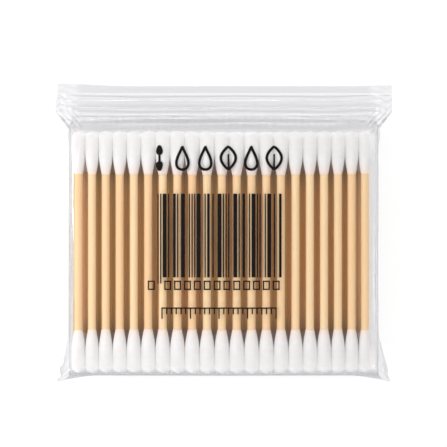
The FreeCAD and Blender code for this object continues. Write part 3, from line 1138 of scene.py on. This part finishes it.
def stroke(points, width, closed=False):
    """A flat ribbon of ink along a line of (x, y) points, as left and right edge points."""
    line = np.array(points, float)
    if closed:
        ahead, behind = np.roll(line, -1, 0), np.roll(line, 1, 0)
    else:
        ahead = np.concatenate([line[1:], line[-1:]])
        behind = np.concatenate([line[:1], line[:-1]])
    run = ahead - behind
    run = run / np.linalg.norm(run, axis=1, keepdims=True)
    side = np.stack([-run[:, 1], run[:, 0]], 1) * np.reshape(width, (-1, 1)) / 2
    return line + side, line - side, closed


def straight(x0, y0, x1, y1, parts=12):
    """Points along a straight line."""
    return [(x0 + (x1 - x0) * k / parts, y0 + (y1 - y0) * k / parts) for k in range(parts + 1)]


def bar_strokes(settings):
    """A block of bars whose widths and spaces go round in two short cycles, with no code in them."""
    modules = 95
    module = settings.width / modules
    widths, spaces = (1, 1, 3, 1, 2, 1, 3, 1), (1, 1, 1, 3, 1, 2, 3)
    strokes = []
    place, count = 0, 0
    while place < modules:
        wide = min(widths[count % len(widths)], modules - place)
        drop = settings.guard_drop if count < 2 else 0
        x = settings.left + (place + wide / 2) * module
        low = settings.bar_top - settings.bar_height - drop
        strokes.append(stroke(straight(x, low, x, settings.bar_top), wide * module))
        place += wide + spaces[count % len(spaces)]
        count += 1
    return strokes


def symbol_strokes(settings):
    """A row of plain signs for what is in the bag: a swab, drops and leaves."""
    height = settings.symbol_height
    middle = settings.symbol_top - height / 2
    reach = height / 2 - settings.stroke / 2
    strokes = []

    def swab(x):
        shares = np.linspace(0, 1, 13)
        swell = settings.stroke * (0.75 + 1.75 * np.sin(math.pi * shares**0.7) ** 0.7)
        half_stick = reach - 2.4 * MM
        stick = straight(x, middle - half_stick, x, middle + half_stick, 6)
        strokes.append(stroke(stick, settings.stroke * 0.8))
        for end in (-1, 1):
            tip = straight(x, middle + end * (reach - 2.6 * MM), x, middle + end * (reach + 0.4 * MM))
            strokes.append(stroke(tip, swell))

    def drop(x):
        turns = np.linspace(0, 2 * np.pi, 36, endpoint=False) + 0.02
        sideways = [2.7 * MM * math.sin(t) * math.sin(t / 2) ** 1.6 for t in turns]
        shape = [(x + side, middle + reach * math.cos(t)) for side, t in zip(sideways, turns)]
        strokes.append(stroke(shape, settings.stroke, True))

    def leaf(x):
        shares = np.linspace(0, 1, 18, endpoint=False) + 0.012
        low = middle - reach
        right = [(x + 2.3 * MM * math.sin(math.pi * s) ** 0.9, low + 2 * reach * s) for s in shares]
        left = [(2 * x - px, 2 * middle - py) for px, py in right]
        strokes.append(stroke(right + left, settings.stroke, True))
        vein = straight(x, middle - reach * 0.9, x, middle + reach * 0.35)
        strokes.append(stroke(vein, settings.stroke * 0.6))

    step = 7.1 * MM
    start = settings.left + 0.6 * MM
    for k, sign in enumerate((swab, drop, drop, leaf, drop, leaf)):
        sign(start + k * step)
    return strokes


def tick_strokes(settings):
    """A row of small empty fields under the bars, and a plain ruled scale below."""
    strokes = []
    line = 0.42 * MM
    fields, field_width, field_height, field_pitch = 13, 1.75 * MM, 2.9 * MM, 3.05 * MM
    field_top = settings.bar_top - settings.bar_height - 1.0 * MM
    field_low = field_top - field_height
    for k in range(fields):
        left = settings.left + (-2.8 * MM if k == 0 else 2.3 * MM + (k - 1) * field_pitch)
        right = left + field_width
        for x in (left, right):
            strokes.append(stroke(straight(x, field_low, x, field_top, 4), line))
        for y in (field_low + line / 2, field_top - line / 2):
            strokes.append(stroke(straight(left + line / 2, y, right - line / 2, y, 3), line))

    ticks, tick_pitch, long_every = 25, 1.47 * MM, 6
    long_tick, short_tick = 3.3 * MM, 1.9 * MM
    scale_top = field_low - 5.6 * MM
    first = settings.left + 1.4 * MM
    for k in range(ticks):
        x = first + k * tick_pitch
        length = long_tick if k % long_every == 0 else short_tick
        strokes.append(stroke(straight(x, scale_top, x, scale_top - length, 3), line))
    last = settings.left + 1.6 * MM + (ticks - 1) * tick_pitch
    strokes.append(stroke(straight(settings.left + 1.2 * MM, scale_top, last, scale_top, 60), line))
    return strokes


def ink_mesh(form, strokes, material):
    """All ink as one thin coat that follows the front film."""
    low, high = 0.015 * MM, 0.05 * MM
    vertices, faces = [], []
    for left, right, closed in strokes:
        count = len(left)
        start = sum(len(block) for block in vertices)
        for edge in (left, right):
            x, y = edge.T
            surface = form.face_height(x) + form.face_crease(x, y)
            vertices.append(np.stack([x, y, surface + high], 1))
            vertices.append(np.stack([x, y, surface + low], 1))
        top_left, low_left, top_right, low_right = (start + k * count for k in range(4))
        for k in range(count if closed else count - 1):
            n = (k + 1) % count
            faces.append((top_left + k, top_right + k, top_right + n, top_left + n))
            faces.append((low_left + k, low_left + n, low_right + n, low_right + k))
            faces.append((top_left + k, top_left + n, low_left + n, low_left + k))
            faces.append((top_right + k, low_right + k, low_right + n, top_right + n))
        if not closed:
            last = count - 1
            faces.append((top_left, low_left, low_right, top_right))
            faces.append((top_left + last, top_right + last, low_right + last, low_left + last))
    piece = link("printed_ink", np.concatenate(vertices), faces, material, smooth=False)
    shape = bmesh.new()
    shape.from_mesh(piece.data)
    bmesh.ops.recalc_face_normals(shape, faces=shape.faces)
    shape.to_mesh(piece.data)
    shape.free()
    return piece


class SWABBAG_OT_swabs(bpy.types.Operator):
    """Makes the cotton swabs of the front row and of the rows behind it."""

    bl_idname = "swabbag.swabs"
    bl_label = "Cotton swabs"

    def execute(self, context):
        settings = context.scene.swab_bag_swabs
        cotton = cotton_material(settings)
        bamboo = bamboo_material(settings)
        tree = repeat_tree()
        front_rings, hidden_rings = 26, 10
        shared = (settings, cotton, bamboo, tree)
        swab_group("front_row", front_row(), settings.front_sides, front_rings, *shared, FRONT_NODES)
        for row in HIDDEN_ROWS:
            nodes = ["row_%d_sticks" % row, "row_%d_cotton_tips" % row]
            swabs = read_row(nodes[:1], nodes[1:])
            swab_group("row_%d" % row, swabs, settings.hidden_sides, hidden_rings, *shared, nodes)
        return {"FINISHED"}


class SWABBAG_OT_film(bpy.types.Operator):
    """Makes the bag's film with its creases, side welds, ears and stepped lips."""

    bl_idname = "swabbag.film"
    bl_label = "Bag film"

    def execute(self, context):
        settings = context.scene.swab_bag_film
        form = BagForm(settings)
        material = clear_material("clear_film", settings, settings.haze, 60.0)
        piece = film_mesh(Film(form, settings.thickness), material)
        wall = piece.modifiers.new("Wall", "SOLIDIFY")
        wall.thickness = settings.thickness
        wall.offset = -1.0
        settle(piece, ["bag_film"])
        return {"FINISHED"}


class SWABBAG_OT_seal(bpy.types.Operator):
    """Gives both halves of the press seal their clear plastic."""

    bl_idname = "swabbag.seal"
    bl_label = "Press seal"

    def execute(self, context):
        settings = context.scene.swab_bag_film
        material = clear_material("seal_plastic", settings, settings.haze * 2, 120.0)
        for name in ("seal_rib_strip", "seal_groove_strip"):
            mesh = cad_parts[name].data
            if mesh.materials:
                mesh.materials[0] = material
            else:
                mesh.materials.append(material)
        return {"FINISHED"}


class SWABBAG_OT_print(bpy.types.Operator):
    """Prints the plain signs, the bar block, the small empty fields and the ruled scale on the front film."""

    bl_idname = "swabbag.print"
    bl_label = "Printing"

    def execute(self, context):
        settings = context.scene.swab_bag_print
        form = BagForm(context.scene.swab_bag_film)
        strokes = bar_strokes(settings) + symbol_strokes(settings) + tick_strokes(settings)
        settle(ink_mesh(form, strokes, ink_material(settings)))
        return {"FINISHED"}


# Each lamp's side, its place and size in metres, and its share of the lamp power.
STRIP_LAMPS = (
    ("seal_side", (0.05, 0.52, 0.42), (0.55, 0.05), 1.0),
    ("bottom_side", (-0.05, -0.52, 0.42), (0.55, 0.05), 1.0),
    ("left", (-0.50, 0.03, 0.46), (0.05, 0.50), 1.6),
    ("right", (0.52, -0.03, 0.44), (0.05, 0.50), 0.25),
)


def strip_lamp(name, place, size, power):
    """A long soft lamp that looks at the bag."""
    lamp = bpy.data.lights.new(name, "AREA")
    lamp.shape = "RECTANGLE"
    lamp.size, lamp.size_y = size
    lamp.energy = power
    shown = bpy.data.objects.new(name, lamp)
    shown.location = place
    aim = -shown.location
    shown.rotation_euler = aim.to_track_quat("-Z", "Y").to_euler()
    bpy.context.scene.collection.objects.link(shown)


class SWABBAG_OT_stage(bpy.types.Operator):
    """Sets the floor, the even white surroundings, four strip lamps and the camera."""

    bl_idname = "swabbag.stage"
    bl_label = "Stage"

    def execute(self, context):
        settings = context.scene.swab_bag_stage
        scene = context.scene
        reach, low = 3.0, -0.2 * MM
        corners = [(x * reach, y * reach, low) for x, y in ((-1, -1), (1, -1), (1, 1), (-1, 1))]
        link("floor", corners, [(0, 1, 2, 3)], floor_material(settings), smooth=False)

        world = bpy.data.worlds.new("even_light")
        world.use_nodes = True
        tree = world.node_tree
        tree.nodes.clear()
        strength = ramp(tree, seen_directly(tree), settings.sky, 1.0)
        light = add(tree, "ShaderNodeBackground", {"Color": WHITE, "Strength": strength})
        add(tree, "ShaderNodeOutputWorld", {"Surface": light.outputs["Background"]})
        scene.world = world

        for side, place, size, share in STRIP_LAMPS:
            strip_lamp("lamp_" + side, place, size, settings.lamp_power * share)

        film_low, film_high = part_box("bag_film")
        middle = (film_low.z + film_high.z) / 2
        view = bpy.data.cameras.new("camera")
        view.sensor_width = 36.0
        view.lens = view.sensor_width * settings.distance / settings.view_width
        view.clip_start, view.clip_end = 0.05, 20.0
        camera = bpy.data.objects.new("camera", view)
        camera.location = (-settings.view_left, settings.view_up, middle + settings.distance)
        scene.collection.objects.link(camera)
        scene.camera = camera
        scene.view_settings.view_transform = "Standard"
        scene.cycles.transparent_max_bounces = 32
        return {"FINISHED"}


class SWABBAG_PT_panel(bpy.types.Panel):
    """Lists what the bag is made of."""

    bl_idname = "SWABBAG_PT_panel"
    bl_label = "Press-seal bag of swabs"
    bl_space_type = "VIEW_3D"
    bl_region_type = "UI"
    bl_category = "Swab bag"

    def draw(self, context):
        for operator in OPERATORS:
            self.layout.operator(operator.bl_idname)
        for name in SETTINGS:
            group = getattr(context.scene, name)
            box = self.layout.box()
            for key in group.__annotations__:
                box.prop(group, key)


SETTINGS = {
    "swab_bag_swabs": SwabSettings,
    "swab_bag_film": FilmSettings,
    "swab_bag_print": PrintSettings,
    "swab_bag_stage": StageSettings,
}
OPERATORS = (SWABBAG_OT_stage, SWABBAG_OT_swabs, SWABBAG_OT_film, SWABBAG_OT_seal, SWABBAG_OT_print)


def register():
    """Adds the settings, operators and panel."""
    for name, group in SETTINGS.items():
        bpy.utils.register_class(group)
        setattr(bpy.types.Scene, name, PointerProperty(type=group))
    for operator in OPERATORS:
        bpy.utils.register_class(operator)
    bpy.utils.register_class(SWABBAG_PT_panel)


def unregister():
    """Takes them away again."""
    bpy.utils.unregister_class(SWABBAG_PT_panel)
    for operator in reversed(OPERATORS):
        bpy.utils.unregister_class(operator)
    for name, group in SETTINGS.items():
        delattr(bpy.types.Scene, name)
        bpy.utils.unregister_class(group)


def main():
    """Builds everything in order."""
    register()
    for operator in OPERATORS:
        group, name = operator.bl_idname.split(".")
        getattr(getattr(bpy.ops, group), name)()


if __name__ == "__main__":
    main()
